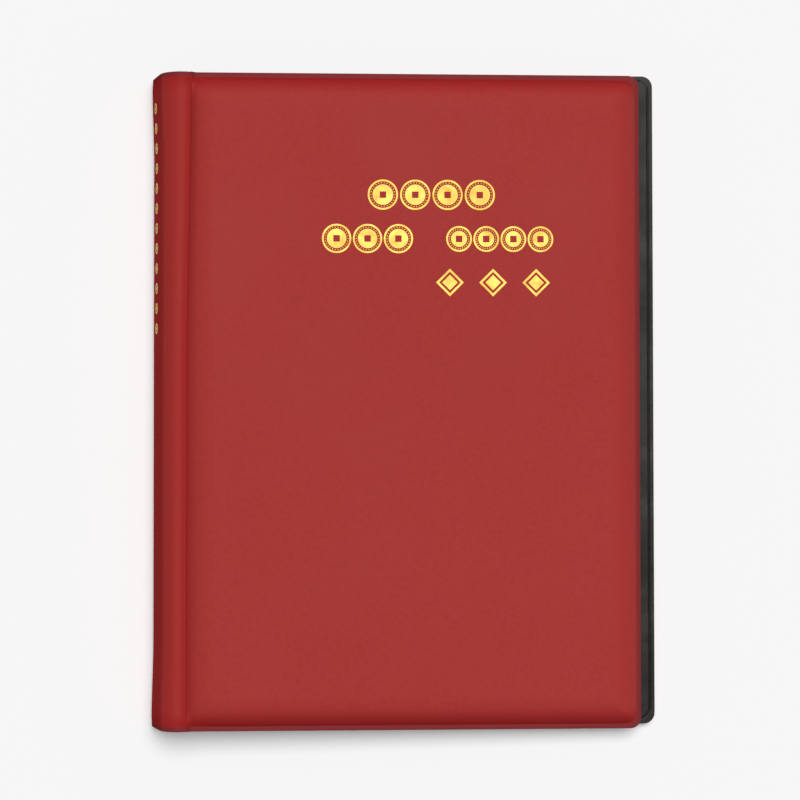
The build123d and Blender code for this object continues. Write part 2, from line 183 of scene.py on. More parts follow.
def smooth(t):
    """0 below 0, 1 above 1 and an even S between."""
    t = np.clip(t, 0, 1)
    return t * t * (3 - 2 * t)

def rim_spaced(length, middle):
    """Places along a length: fine rows at both ends, even ones between."""
    inner = np.linspace(RIM_ROWS[-1], length - RIM_ROWS[-1], middle + 1)[1:-1]
    return np.concatenate([RIM_ROWS, inner, length - RIM_ROWS[::-1]])

def new_object(name, vertices, faces, material):
    """A mesh object with smooth faces that remembers where its points lie at rest."""
    mesh = bpy.data.meshes.new(name)
    mesh.from_pydata([tuple(v) for v in vertices], [], faces)
    mesh.update()
    mesh.polygons.foreach_set("use_smooth", [True] * len(mesh.polygons))
    rest = mesh.attributes.new("rest", "FLOAT_VECTOR", "POINT")
    rest.data.foreach_set("vector", np.asarray(vertices, float).ravel())
    mesh.materials.append(material)
    obj = bpy.data.objects.new(name, mesh)
    bpy.context.scene.collection.objects.link(obj)
    return obj

def shell(name, outer, inner, material):
    """A closed sheet between two grids of points, outer facing out."""
    rows, columns = outer.shape[:2]
    count = rows * columns
    index = np.arange(count).reshape(rows, columns)
    quads = np.stack([index[:-1, :-1], index[1:, :-1], index[1:, 1:], index[:-1, 1:]], -1).reshape(-1, 4)
    rim = np.concatenate([index[0, :-1], index[:-1, -1], index[-1, :0:-1], index[:0:-1, 0]])
    ring = np.stack([rim, np.roll(rim, -1)], -1)
    sides = np.concatenate([ring[:, ::-1], ring + count], 1)
    faces = np.concatenate([quads, quads[:, ::-1] + count, sides[:, ::-1]])
    points = np.concatenate([outer.reshape(-1, 3), inner.reshape(-1, 3)])
    obj = new_object(name, points, [tuple(int(i) for i in face) for face in faces], material)
    face_outwards(obj)
    return obj

def face_outwards(obj):
    """Turns the faces of a closed mesh so that they enclose a positive volume."""
    work = bmesh.new()
    work.from_mesh(obj.data)
    bmesh.ops.recalc_face_normals(work, faces=work.faces)
    if work.calc_volume(signed=True) < 0:
        bmesh.ops.reverse_faces(work, faces=work.faces)
    work.to_mesh(obj.data)
    work.free()

# ---------------------------------------------------------------- cover outline

class Outline:
    """The stations of a cover piece: the fully padded outside, the welded lip level, the outward
    direction, and the distance from the fore edge."""

    def __init__(self):
        self.top, self.lip, self.out, self.fore, self.roll = [], [], [], [], []

    def add(self, top, lip, out, fore, roll):
        self.top.append(top)
        self.lip.append(lip)
        self.out.append(out)
        self.fore.append(fore)
        self.roll.append(roll)

    def arrays(self):
        return [np.array(a, float) for a in (self.top, self.lip, self.out, self.fore, self.roll)]

def front_plane(x, height):
    """Height in the frame of the front panel's sloping plane, that far above its underside."""
    return FRONT_Z + height / cos(SLOPE) - (x - FRONT_X) * tan(SLOPE)

def groove_dent(x, centre):
    """Depth of the groove at x."""
    dips = (GROOVE_LINE, GROOVE_DIP)
    return sum(depth * np.exp(-((x - centre) / width) ** 2) for depth, width in dips)

def spine_dent(point):
    """Depth of the front groove's dip at a point round the spine; there is none underneath."""
    return groove_dent(point[0], GROOVE_CENTRE) if point[1] > HEEL_Z else 0.0

def groove_sway(section, y):
    """How far the groove and what lies by it stand towards the fore edge, near the head."""
    x, z = section[..., 0], section[..., 1]
    near = np.exp(-((x - GROOVE_X) / SWAY_REACH) ** 2) * smooth(4 * z / SPINE_TOP - 2)
    sway = GROOVE_SWAY * near * smooth(y / HALF)
    return np.stack([sway, 0 * sway], -1)

def front_stations():
    """x of the stations across the front panel and its groove, from the fore edge to the shoulder."""
    panel = FRONT_END - rim_spaced(FRONT_END - GROOVE_X - RIM_FROM, 44)[:-len(RIM_ROWS)]
    groove = np.linspace(GROOVE_X + PANEL_FROM, GROOVE_X + FINE_REACH, 12)
    fine = np.linspace(GROOVE_X + FINE_REACH, SHOULDER_X, 44)
    return np.concatenate([panel[panel > GROOVE_X + PANEL_FROM + STATION_GAP], groove[:-1], fine])

def back_stations():
    """x of the stations across the back strip, its groove and the back panel, to the fore edge."""
    panel = BACK_END - rim_spaced(BACK_END - BACK_GROOVE - RIM_FROM, 44)[:-len(RIM_ROWS)]
    groove = np.linspace(BACK_GROOVE + PANEL_FROM, BACK_GROOVE + FINE_REACH, 12)
    fine = np.linspace(BACK_GROOVE + FINE_REACH, GROOVE_X - SPLIT_X, 60)
    panel = panel[panel > BACK_GROOVE + PANEL_FROM + STATION_GAP]
    return np.concatenate([panel, groove[:-1], fine])[::-1]

def spine_round(inset):
    """Points and outward directions from the shoulder round the leaning face and the heel."""
    points, directions = [], []
    for angle in np.linspace(0, pi / 2 - LEAN, 16)[1:]:
        out = np.array([-sin(angle), cos(angle)])
        points.append(np.array([SHOULDER_X, SHOULDER_Z]) + (SHOULDER_R - inset) * out)
        directions.append(out)
    start = points[-1]
    end = np.array([HEEL_X, HEEL_Z]) + (HEEL_R - inset) * directions[-1]
    for t in np.linspace(0, 1, 12)[1:]:
        points.append(start + t * (end - start))
        directions.append(directions[-1])
    for angle in np.linspace(pi / 2 - LEAN, pi, 16)[1:]:
        out = np.array([-sin(angle), cos(angle)])
        points.append(np.array([HEEL_X, HEEL_Z]) + (HEEL_R - inset) * out)
        directions.append(out)
    for x in np.linspace(HEEL_X, GROOVE_X - SPLIT_X, 6)[1:]:
        points.append(np.array([x, STRIP_Z + inset]))
        directions.append(np.array([0.0, -1.0]))
    return points, directions

def front_levels(x):
    """Height of the padded outside and of the lip across the front panel and its groove."""
    level = smooth((x - GROOVE_X + RISE_LEAD) / PAD_RISE)
    top = SPINE_TOP + level * (front_plane(x, PANEL_T + PAD_CROWN) - SPINE_TOP)
    top = top - groove_dent(x, GROOVE_CENTRE)
    web = smooth((x - GROOVE_X) / GROOVE_WIDTH)
    lip = (1 - web) * (SPINE_TOP - SPINE_LIP_DROP) + web * front_plane(x, LIP_T)
    return top, np.minimum(lip, top)

def skin_outline_front():
    """Front panel, groove, shoulder, spine, heel and the strip underneath as far as the split."""
    line = Outline()
    for x in front_stations():
        top, lip = front_levels(x)
        line.add((x, top), (x, lip), (0, 1), FRONT_END - x, PAD_ROLL)
    for point, out in zip(*spine_round(0)):
        dent = spine_dent(point)
        line.add(point - dent * out, point - (dent + SPINE_LIP_DROP) * out, out, 1.0, SPINE_ROLL)
    return line.arrays()

def front_height(x, y):
    """Height of the front panel's outside at a place in plan."""
    top, lip = front_levels(x)
    return lip + (top - lip) * pad_fullness(pad_depth(FRONT_END - x, y), PAD_ROLL)

def spine_flare(y):
    """How far the spine stands out at that distance along it."""
    return SPINE_FLARE * smooth((abs(y) - HALF + SPINE_FLARE_REACH) / SPINE_FLARE_REACH)

def back_levels(x):
    """Height of the padded outside and of the lip across the strip, the back groove and the panel."""
    level = smooth((x - BACK_GROOVE + RISE_LEAD) / BACK_PAD_RISE)
    top = STRIP_Z * (1 - level) + groove_dent(x, BACK_GROOVE_CENTRE)
    web = smooth((x - BACK_GROOVE) / GROOVE_WIDTH)
    lip = (1 - web) * (STRIP_Z + SPINE_LIP_DROP) + web * (PANEL_T - LIP_T)
    return top, max(lip, top)

def skin_outline_back():
    """The rest of the strip underneath, the back groove and the back panel."""
    line = Outline()
    for x in back_stations():
        top, lip = back_levels(x)
        line.add((x, top), (x, lip), (0, -1), BACK_END - x, PAD_ROLL)
    return line.arrays()

def edge_y(fore, half=HALF, radius=CORNER_R):
    """Half height of an outline at that distance from its fore edge, with its rounded corners."""
    inside = np.clip(radius - fore, 0, radius)
    return half - radius + np.sqrt(radius ** 2 - inside ** 2)

def pad_depth(fore, y):
    """How far inside the padded area a point lies."""
    from_fore = fore - LIP_WIDTH
    from_end = HALF - LIP_WIDTH - abs(y)
    depth = np.minimum(from_fore, from_end)
    corner = (from_fore < PAD_CORNER_R) & (from_end < PAD_CORNER_R)
    reach = np.hypot(PAD_CORNER_R - from_fore, PAD_CORNER_R - from_end)
    return np.where(corner, PAD_CORNER_R - reach, depth)

def pad_fullness(depth, roll):
    """Share of the padding's full height at a depth inside the padded area."""
    t = np.clip(depth / roll, 0, 1)
    return 1 - (1 - t) ** PAD_POWER

def surface(outline, y):
    """The cover's outside at each station and y, as (x, z)."""
    top, lip, out, fore, roll = outline
    full = pad_fullness(pad_depth(fore[:, None], y), roll[:, None])
    section = lip[:, None] + (top - lip)[:, None] * full[..., None]
    half = edge_y(fore)[:, None]
    from_rim = np.minimum(half - abs(y), fore[:, None])
    inside = np.clip(1 - from_rim / RIM_ROUND, 0, 1)
    drop = RIM_ROUND * (1 - np.sqrt(1 - inside ** 2)) * RIM_DROP
    drop += np.where(out[:, 1:] > 0, droop(fore[:, None]), 0)
    spread = np.clip(-out[:, :1], 0, 1) * spine_flare(y)
    section = section - out[:, None] * drop[..., None] + np.stack([-spread, 0 * spread], -1)
    return section + groove_sway(section, y)

def cover_grid(outline):
    """y of each point and the outside surface of a cover piece."""
    half = edge_y(outline[3])
    middle = np.linspace(-1, 1, 49)[1:-1]
    count = len(RIM_ROWS)
    y = np.empty((len(half), 2 * count + len(middle)))
    y[:, :count] = -half[:, None] + RIM_ROWS
    y[:, -count:] = half[:, None] - RIM_ROWS[::-1]
    y[:, count:-count] = middle * (half[:, None] - RIM_ROWS[-1])
    return y, surface(outline, y)

def to_points(section, y):
    """Section points (x, z) and y as points in the frame."""
    return np.stack([section[..., 0], y, section[..., 1]], -1)

def skin_piece(name, outline, material):
    """One piece of leatherette, its inside a skin's thickness under its outside."""
    y, section = cover_grid(outline)
    under = section - outline[2][:, None] * SKIN_T
    piece = shell(name, to_points(section, y), to_points(under, y), material)
    depth = pad_depth(outline[3][:, None], y)
    weld = 1 - smooth(depth / (0.5 * MM) + 0.5)
    # painted shade: the skin is darkened over the padding's roll at head and foot and down the groove's dip
    fold = groove_dent(outline[0][:, :1], GROOVE_CENTRE) / groove_dent(GROOVE_CENTRE, GROOVE_CENTRE)
    at_end = smooth(1 - (HALF - LIP_WIDTH - abs(y)) / SHADE_REACH)
    painted_shade = (1 - weld) * np.maximum(at_end, GROOVE_SHADE * fold)
    # painted shade: the skin is darkened where it leans to the spine's side
    lean_shade = np.broadcast_to(smooth(-2 * outline[2][:, :1]), y.shape)
    for mark, value in (("weld", weld), ("painted_shade", painted_shade), ("lean_shade", lean_shade)):
        shares = piece.data.attributes.new(mark, "FLOAT", "POINT")
        shares.data.foreach_set("value", np.tile(value.ravel(), 2).astype(np.float32))
    # painted shade: faces leaning to the spine's side take a copy of the leatherette with no reflection
    piece.data.materials.append(SPINE_SHADED)
    for polygon in piece.data.polygons:
        polygon.material_index = int(polygon.normal.x < -UPRIGHT)
    return piece

def rack(piece):
    """Turns a piece of the back cover a little in its plane."""
    for vertex in piece.data.vertices:
        vertex.co.y += BACK_RACK * max(0, vertex.co.x - BACK_GROOVE) / (BACK_END - BACK_GROOVE)

# ---------------------------------------------------------------- foam and board

def filling(name, outline, side, low, high, material):
    """A flat filling of a panel. low and high give its two faces as heights over the lining's inside,
    or None for a face that lies against the skin."""
    top, lip, out, fore, roll = outline
    keep = (fore > LIP_WIDTH + FOAM_INSET) & (top[:, 0] > side["groove"] + GROOVE_WIDTH + FOAM_INSET)
    picked = [a[keep] for a in outline]
    fore = picked[3] - LIP_WIDTH - FOAM_INSET
    half = edge_y(fore, HALF - LIP_WIDTH - FOAM_INSET, PAD_CORNER_R - FOAM_INSET)
    y = half[:, None] * (rim_spaced(2 * HALF, 40) / HALF - 1)
    skin = surface(picked, y) - picked[2][:, None] * (SKIN_T + GLUE_T)
    faces = []
    for height in (high, low):
        if height is None:
            faces.append(skin)
        else:
            x = np.broadcast_to(picked[0][:, :1], y.shape)
            faces.append(np.stack([x, side["plane"](x, height)], -1))
    return shell(name, to_points(faces[0], y), to_points(faces[1], y), material)

def back_plane(x, height):
    """Height in the frame, that far under the back lining's inside."""
    return PANEL_T - height + 0 * x

# ---------------------------------------------------------------- lining

def droop(fore):
    """How far the rim sags near the fore edge."""
    return LIP_DROOP * np.clip(1 - fore / LIP_WIDTH, 0, 1) ** 2

def lining_outline_front():
    """Inner and outer side of the lining from the fore edge through the spine to the split."""
    inner, outer, fore = [], [], []
    for x in front_stations():
        web = smooth((x - GROOVE_X) / GROOVE_WIDTH)
        low = (1 - web) * (SPINE_TOP - SPINE_T) + web * front_plane(x, 0) - droop(FRONT_END - x)
        low = min(low, front_levels(x)[0] - SPINE_T)
        inner.append((x, low))
        outer.append((x, low + LINING_T))
        fore.append(FRONT_END - x)
    for point, out in zip(*spine_round(SPINE_T)):
        dent = spine_dent(point)
        inner.append(point - dent * out)
        outer.append(point + (LINING_T - dent) * out)
        fore.append(1.0)
    return np.array(inner, float), np.array(outer, float), np.array(fore)

def lining_outline_back():
    """Inner and outer side of the lining from the split to the back panel's fore edge."""
    inner, outer, fore = [], [], []
    for x in back_stations():
        web = smooth((x - BACK_GROOVE) / GROOVE_WIDTH)
        high = (1 - web) * (STRIP_Z + SPINE_T) + web * PANEL_T
        high = max(high, back_levels(x)[0] + SPINE_T)
        inner.append((x, high))
        outer.append((x, high - LINING_T))
        fore.append(BACK_END - x)
    return np.array(inner, float), np.array(outer, float), np.array(fore)

def lining_piece(name, outline, material):
    """One piece of lining sheet, with the line of the rim's weld pressed into its inside."""
    inner, outer, fore = outline
    y = edge_y(fore)[:, None] * (rim_spaced(2 * HALF, 46) / HALF - 1)
    dent = WELD_DENT * np.exp(-(pad_depth(fore[:, None], y) / WELD_LINE) ** 2)
    into = ((outer - inner) / LINING_T)[:, None]
    near = inner[:, None] + into * dent[..., None]
    far = np.broadcast_to(outer[:, None], near.shape)
    near, far = (side + groove_sway(side, y) for side in (near, far))
    return shell(name, to_points(near, y), to_points(far, y), material)

# ---------------------------------------------------------------- foil stamping

def islands(node):
    """Centre and half size of each separate solid in a CAD node."""
    mesh = frame["nodes"][node].data
    keys = [tuple(round(c / (0.001 * MM)) for c in v.co) for v in mesh.vertices]
    group = {key: key for key in keys}

    def root(key):
        while group[key] != key:
            group[key] = group[group[key]]
            key = group[key]
        return key

    for polygon in mesh.polygons:
        first = root(keys[polygon.vertices[0]])
        for index in polygon.vertices[1:]:
            group[root(keys[index])] = first
    found = {}
    for vertex, key in zip(mesh.vertices, keys):
        found.setdefault(root(key), []).append(vertex.co)
    boxes = []
    for points in found.values():
        points = np.array(points)
        low, high = points.min(0), points.max(0)
        boxes.append((Vector((low + high) / 2), Vector((high - low) / 2)))
    return boxes

class Stamp:
    """Flat shapes drawn in their own plane, each a closed rim-rounded plate, laid on a surface."""

    def __init__(self):
        self.points, self.faces = [], []

    def plate(self, outer, inner):
        """A plate between two closed outlines that have as many points as each other."""
        count = len(outer)
        start = len(self.points)
        bevel = 0.5 * FOIL_T * unit(inner - outer)
        levels = (
            (outer, -FOIL_SUNK),
            (outer, FOIL_T / 2),
            (outer + bevel, FOIL_T),
            (inner - bevel, FOIL_T),
            (inner, FOIL_T / 2),
            (inner, -FOIL_SUNK),
        )
        for outline, height in levels:
            self.points += [(u, v, height) for u, v in outline]
        for level in range(len(levels)):
            low = start + level * count
            high = start + (level + 1) % len(levels) * count
            for n in range(count):
                m = (n + 1) % count
                self.faces.append((low + n, low + m, high + m, high + n))

    def solid_plate(self, outline):
        """A plate whose hole closes up to a pinprick in its middle."""
        middle = outline.mean(0)
        inward = unit(middle - outline)
        self.plate(outline, middle - inward * FOIL_T)

    def build(self, name, place, material):
        """Lays the plates down: place turns (u, v, height) into a point of the frame."""
        points = [place(*point) for point in self.points]
        obj = new_object(name, points, self.faces, material)
        obj.data.polygons.foreach_set("use_smooth", [False] * len(self.faces))
        face_outwards(obj)
        return obj

def unit(vectors):
    """Each row of vectors at length one."""
    return vectors / np.maximum(np.linalg.norm(vectors, axis=1, keepdims=True), 1e-12)

def circle(centre, radius, count=OUTLINE_POINTS):
    """A round outline."""
    angle = np.linspace(0, 2 * pi, count, endpoint=False)
    return np.array(centre) + radius * np.stack([np.cos(angle), np.sin(angle)], -1)

def square(centre, half, count=OUTLINE_POINTS, turn=0.0):
    """A square outline with as many points as a round one, so that the two can bound a plate."""
    angle = np.linspace(0, 2 * pi, count, endpoint=False)
    reach = half / np.maximum(abs(np.cos(angle)), abs(np.sin(angle)))
    flat = reach[:, None] * np.stack([np.cos(angle), np.sin(angle)], -1)
    spin = np.array([[cos(turn), -sin(turn)], [sin(turn), cos(turn)]])
    return np.array(centre) + flat @ spin.T

def coin(stamp, centre, radius):
    """A plain coin: rim, circle of beads and a middle disc with a square hole."""
    stamp.plate(circle(centre, radius), circle(centre, radius - COIN_RING))
    for bead in circle(centre, radius - BEAD_INSET, COIN_BEADS):
        stamp.solid_plate(circle(bead, BEAD_R, BEAD_POINTS))
    stamp.plate(circle(centre, radius - CORE_INSET), square(centre, CORE_HOLE))

def lozenge(stamp, centre, half):
    """A lozenge with a border."""
    side = half / sqrt(2)
    inner = side - LOZENGE_BORDER
    stamp.plate(square(centre, side, turn=pi / 4), square(centre, inner, turn=pi / 4))
    stamp.solid_plate(square(centre, inner - LOZENGE_GAP, turn=pi / 4))

def make_stamping():
    """Foil on the front panel and down the spine, laid on the leatherette."""
    title = Stamp()
    boxes = islands("title_foil")
    lozenge_row = min(centre.y for centre, half in boxes)
    done = []
    for centre, half in sorted(boxes, key=lambda box: -box[1].y):
        if any((centre - other).length < half.y for other in done):
            continue
        done.append(centre)
        draw = lozenge if centre.y < lozenge_row + 1 * MM else coin
        draw(title, centre.xy, half.y)
    piece = title.build("title_stamping", lambda u, v, h: (u, v, front_height(u, v) + h), FOIL)
    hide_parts("title_foil")
    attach(piece, "front_cover")

    column = Stamp()
    boxes = islands("spine_foil")
    level = boxes[0][0].z
    for centre, half in boxes:
        middle = (centre.y, 0)
        column.plate(circle(middle, half.y), circle(middle, half.y * DISC_HOLE))
        column.solid_plate(circle(middle, half.y * DISC_DOT))
    out = (-cos(LEAN), sin(LEAN))
    face_top = (SHOULDER_X + SHOULDER_R * out[0], SHOULDER_Z + SHOULDER_R * out[1])

    def on_spine(u, v, height):
        z = level + v * cos(LEAN)
        x = face_top[0] - (face_top[1] - z) * tan(LEAN) - cos(LEAN) * spine_flare(u)
        return (x + out[0] * height, u, z + out[1] * height)

    piece = column.build("spine_stamping", on_spine, FOIL)
    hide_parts("spine_foil")
    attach(piece, "back_cover")

# ---------------------------------------------------------------- leaves

def leaf_sheet(number, material):
    """A leaf's black sheet from the binding to the fore edge, in one piece with its bending margin."""
    web_low, web_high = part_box(f"leaf_{number}_hinge_web")
    core_low, core_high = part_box(f"leaf_{number}_core")
    start_z = web_high.z - CORE_T / 2
    length = core_high.x - web_low.x
    slope = atan((start_z - core_low.z - CORE_T / 2) / length)
    along = np.concatenate([np.linspace(0, WEB_LENGTH, 25)[:-1],
                            WEB_LENGTH + (length - WEB_LENGTH) * np.linspace(0, 1, 40)[:-1],
                            length - RIM_ROWS[RIM_ROWS < CORNER_R][::-1]])
    along = np.unique(np.round(along, 7))
    half = web_high.y
    inside = np.clip(CORNER_R - (length - along), 0, CORNER_R)
    edge = half - CORNER_R + np.sqrt(CORNER_R ** 2 - inside ** 2)
    y = edge[:, None] * np.linspace(-1, 1, 61)
    x = np.broadcast_to((web_low.x + along)[:, None], y.shape)
    z = start_z - (x - web_low.x) * tan(slope)
    up = CORE_T / 2 / cos(slope)
    upper, lower = (np.stack([x, y, level], -1) for level in (z + up, z - up))
    return shell(f"leaf_{number}_sheet", upper, lower, material)

# ---------------------------------------------------------------- materials

def srgb(red, green, blue):
    """A colour given in the 0 to 255 of a colour picker, as linear values."""
    def linear(value):
        value /= 255
        return value / 12.92 if value <= 0.04045 else ((value + 0.055) / 1.055) ** 2.4
    return (linear(red), linear(green), linear(blue), 1.0)

class Finish:
    """A principled material under construction, with short ways to add its detail."""

    def __init__(self, name, color, roughness, **sockets):
        self.material = bpy.data.materials.new(name)
        self.material.use_nodes = True
        self.nodes = self.material.node_tree.nodes
        self.link = self.material.node_tree.links.new
        self.shader = self.nodes["Principled BSDF"]
        self.shader.inputs["Base Color"].default_value = color
        self.shader.inputs["Roughness"].default_value = roughness
        for socket, value in sockets.items():
            self.shader.inputs[socket.replace("_", " ")].default_value = value
        self.color = color
        self.height = None

    def place(self, rest):
        """Where a point lies: at rest on a piece that bends, or in its object."""
        if rest:
            node = self.nodes.new("ShaderNodeAttribute")
            node.attribute_name = "rest"
            return node.outputs["Vector"]
        return self.nodes.new("ShaderNodeTexCoord").outputs["Object"]

    def mark(self, name):
        """A share from 0 to 1 stored on the piece's points."""
        node = self.nodes.new("ShaderNodeAttribute")
        node.attribute_name = name
        return node.outputs["Fac"]

    def noise(self, where, scale, detail):
        node = self.nodes.new("ShaderNodeTexNoise")
        node.inputs["Scale"].default_value = scale
        node.inputs["Detail"].default_value = detail
        node.inputs["Roughness"].default_value = 0.5
        self.link(where, node.inputs["Vector"])
        return node.outputs["Fac"]

    def cells(self, where, scale):
        node = self.nodes.new("ShaderNodeTexVoronoi")
        node.inputs["Scale"].default_value = scale
        self.link(where, node.inputs["Vector"])
        return node.outputs["Distance"]

    def ramp(self, value, low, high, out_low=0.0, out_high=1.0):
        node = self.nodes.new("ShaderNodeMapRange")
        node.inputs["From Min"].default_value = low
        node.inputs["From Max"].default_value = high
        node.inputs["To Min"].default_value = out_low
        node.inputs["To Max"].default_value = out_high
        self.link(value, node.inputs["Value"])
        return node.outputs["Result"]

    def math(self, operation, *values):
        """A math node, from values that are sockets or numbers."""
        node = self.nodes.new("ShaderNodeMath")
        node.operation = operation
        for socket, value in zip(node.inputs, values):
            if isinstance(value, (int, float)):
                socket.default_value = value
            else:
                self.link(value, socket)
        return node.outputs[0]

    def axis(self, where, name):
        """One coordinate of a place."""
        node = self.nodes.new("ShaderNodeSeparateXYZ")
        self.link(where, node.inputs[0])
        return node.outputs[name]

    def stripes(self, along, start, pitch, width):
        """1 inside stripes of that width, the first one starting at start; 0 between them."""
        place = self.math("MULTIPLY_ADD", along, 1 / pitch, -start / pitch)
        return self.math("LESS_THAN", self.math("FRACT", place), width / pitch)

    def tint(self, factor, other):
        """Mixes the base colour towards another by a factor."""
        node = self.nodes.new("ShaderNodeMix")
        node.data_type = "RGBA"
        node.inputs[6].default_value = self.color
        node.inputs[7].default_value = other
        previous = self.shader.inputs["Base Color"]
        if previous.is_linked:
            self.link(previous.links[0].from_socket, node.inputs[6])
        self.link(factor, node.inputs[0])
        self.link(node.outputs[2], previous)

    def bump(self, height, distance, strength=1.0):
        node = self.nodes.new("ShaderNodeBump")
        node.inputs["Distance"].default_value = distance
        node.inputs["Strength"].default_value = strength
        self.link(height, node.inputs["Height"])
        if self.height is not None:
            self.link(self.height, node.inputs["Normal"])
        self.height = node.outputs["Normal"]
        self.link(self.height, self.shader.inputs["Normal"])

    def vary_roughness(self, value, low, high):
        self.link(self.ramp(value, 0.3, 0.7, low, high), self.shader.inputs["Roughness"])

def leatherette(name, gloss):
    """Dark red PVC with a fine pebbled grain, a little lighter where it has been handled, darkened with painted
    shade over the padding's roll at head and foot, in the groove and on the spine's leaning face.
    """
    f = Finish(name, srgb(164, 54, 51), 0.5, Specular_IOR_Level=gloss)
    where = f.place(True)
    f.tint(f.ramp(f.noise(where, 14, 2), 0.35, 0.7, 0, 0.16), srgb(174, 62, 59))
    f.tint(f.ramp(f.noise(where, 900, 2), 0.45, 0.75, 0, 0.20), srgb(138, 42, 40))
    # painted shade over the padding's roll at head and foot and in the groove
    f.tint(f.ramp(f.mark("painted_shade"), 0, 1, 0, 0.85), srgb(150, 24, 25))
    # painted shade on the spine's leaning face
    f.tint(f.ramp(f.mark("lean_shade"), 0, 1, 0, 0.6), srgb(158, 42, 40))
    f.tint(f.ramp(f.mark("weld"), 0, 1, 0, 0.75), srgb(110, 42, 46))
    f.vary_roughness(f.noise(where, 40, 2), 0.42, 0.55)
    f.bump(f.cells(where, 1700), 0.05 * MM, 0.35)
    f.bump(f.noise(where, 260, 3), 0.10 * MM, 0.25)
    return f.material

def black_vinyl():
    """Glossy black lining sheet with a slightly uneven surface."""
    f = Finish("black_vinyl", srgb(22, 18, 15), 0.35, Specular_IOR_Level=0.1)
    where = f.place(True)
    f.tint(f.ramp(f.noise(where, 60, 3), 0.4, 0.7, 0, 0.5), srgb(36, 30, 26))
    f.vary_roughness(f.noise(where, 90, 2), 0.25, 0.45)
    f.bump(f.noise(where, 90, 3), 0.6 * MM, 0.6)
    return f.material

def black_sheet(name, rest):
    """Thin black PVC page sheet, half gloss."""
    f = Finish(name, srgb(30, 30, 32), 0.38, Specular_IOR_Level=0.5)
    where = f.place(rest)
    f.tint(f.ramp(f.noise(where, 50, 3), 0.4, 0.7, 0, 0.5), srgb(42, 42, 44))
    f.bump(f.cells(where, 2600), 0.02 * MM, 0.3)
    return f.material

def clear_film(name, node, welds_across):
    """Clear soft PVC film, a little milky and uneven, with ribbed welds: along the foot of each row of
    pockets and between the pockets, or along the head of each row of flaps."""
    f = Finish(name, (0.9, 0.93, 0.96, 1.0), 0.12, Specular_IOR_Level=0.6)
    where = f.place(False)
    low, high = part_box(node)
    x, y = f.axis(where, "X"), f.axis(where, "Y")
    row_pitch = 2 * (LEAF_HALF - LEAF_BORDER) / ROWS
    if welds_across:
        column_pitch = (high.x - low.x - POCKET_WELD) / COLUMNS
        columns = f.stripes(x, low.x, column_pitch, POCKET_WELD)
        welds = f.math("MAXIMUM", columns, f.stripes(y, low.y, row_pitch, POCKET_WELD))
    else:
        welds = f.stripes(y, high.y - POCKET_WELD, row_pitch, POCKET_WELD)
    f.link(f.ramp(welds, 0, 1, 0.1, 0.3), f.shader.inputs["Alpha"])
    f.vary_roughness(f.noise(where, 70, 2), 0.08, 0.22)
    ribs = f.math("SINE", f.math("MULTIPLY", f.math("ADD", x, y), 2 * pi / RIB_PITCH))
    f.bump(f.math("MULTIPLY", ribs, welds), 0.04 * MM, 0.8)
    f.bump(f.noise(where, 90, 2), 0.3 * MM, 0.5)
    return f.material

def grey_board():
    """Raw bookbinding board: grey pulp with darker and lighter fibres."""
    f = Finish("grey_board", srgb(150, 144, 134), 0.9)
    where = f.place(False)
    f.tint(f.ramp(f.noise(where, 700, 4), 0.5, 0.75, 0, 0.6), srgb(96, 90, 82))
    f.tint(f.ramp(f.noise(where, 350, 3), 0.55, 0.8, 0, 0.5), srgb(190, 184, 172))
    f.bump(f.noise(where, 900, 3), 0.1 * MM, 0.5)
    return f.material

def white_foam():
    """Fine closed-cell foam."""
    f = Finish("white_foam", srgb(232, 230, 222), 0.85, Sheen_Weight=0.15)
    where = f.place(True)
    f.tint(f.ramp(f.cells(where, 1500), 0.2, 0.6, 0, 0.4), srgb(205, 202, 192))
    f.bump(f.cells(where, 1500), 0.1 * MM, 0.5)
    return f.material

def black_card():
    """Black card strips of the binding."""
    f = Finish("black_card", srgb(38, 37, 36), 0.8)
    where = f.place(False)
    f.tint(f.ramp(f.noise(where, 600, 3), 0.5, 0.75, 0, 0.5), srgb(62, 60, 57))
    f.bump(f.noise(where, 800, 3), 0.08 * MM, 0.5)
    return f.material

def staple_steel():
    """Galvanised staple wire with drawing marks."""
    f = Finish("staple_steel", srgb(190, 190, 194), 0.3, Metallic=1.0)
    where = f.place(False)
    f.tint(f.ramp(f.noise(where, 900, 2), 0.4, 0.7, 0, 0.4), srgb(140, 140, 142))
    f.bump(f.noise(where, 1500, 2), 0.03 * MM, 0.4)
    return f.material

def gold_foil():
    """Hot-stamped gold foil: bright, with darker worn spots where the grain shows."""
    f = Finish("gold_foil", srgb(226, 184, 82), 0.42, Metallic=0.2, Specular_IOR_Level=0.15)
    where = f.place(False)
    f.tint(f.ramp(f.noise(where, 420, 3), 0.5, 0.75, 0, 0.7), srgb(206, 150, 50))
    f.vary_roughness(f.noise(where, 300, 2), 0.28, 0.5)
    f.bump(f.cells(where, 1700), 0.05 * MM, 0.4)
    return f.material

LEATHERETTE = leatherette("leatherette", 0.03)
# a shaded copy of the leatherette with no reflection, for the spine's leaning faces: painted shade
SPINE_SHADED = leatherette("leatherette_shaded_copy", 0.0)
VINYL = black_vinyl()
PAGE = black_sheet("page_sheet", True)
PAGE_MARGIN = black_sheet("page_margin", False)
POCKET_FILM = clear_film("pocket_film", "leaf_1_front_pockets", True)
FLAP_FILM = clear_film("flap_film", "leaf_1_front_flaps", False)
BOARD = grey_board()
FOAM = white_foam()
CARD = black_card()
STEEL = staple_steel()
FOIL = gold_foil()

# ---------------------------------------------------------------- cover pieces

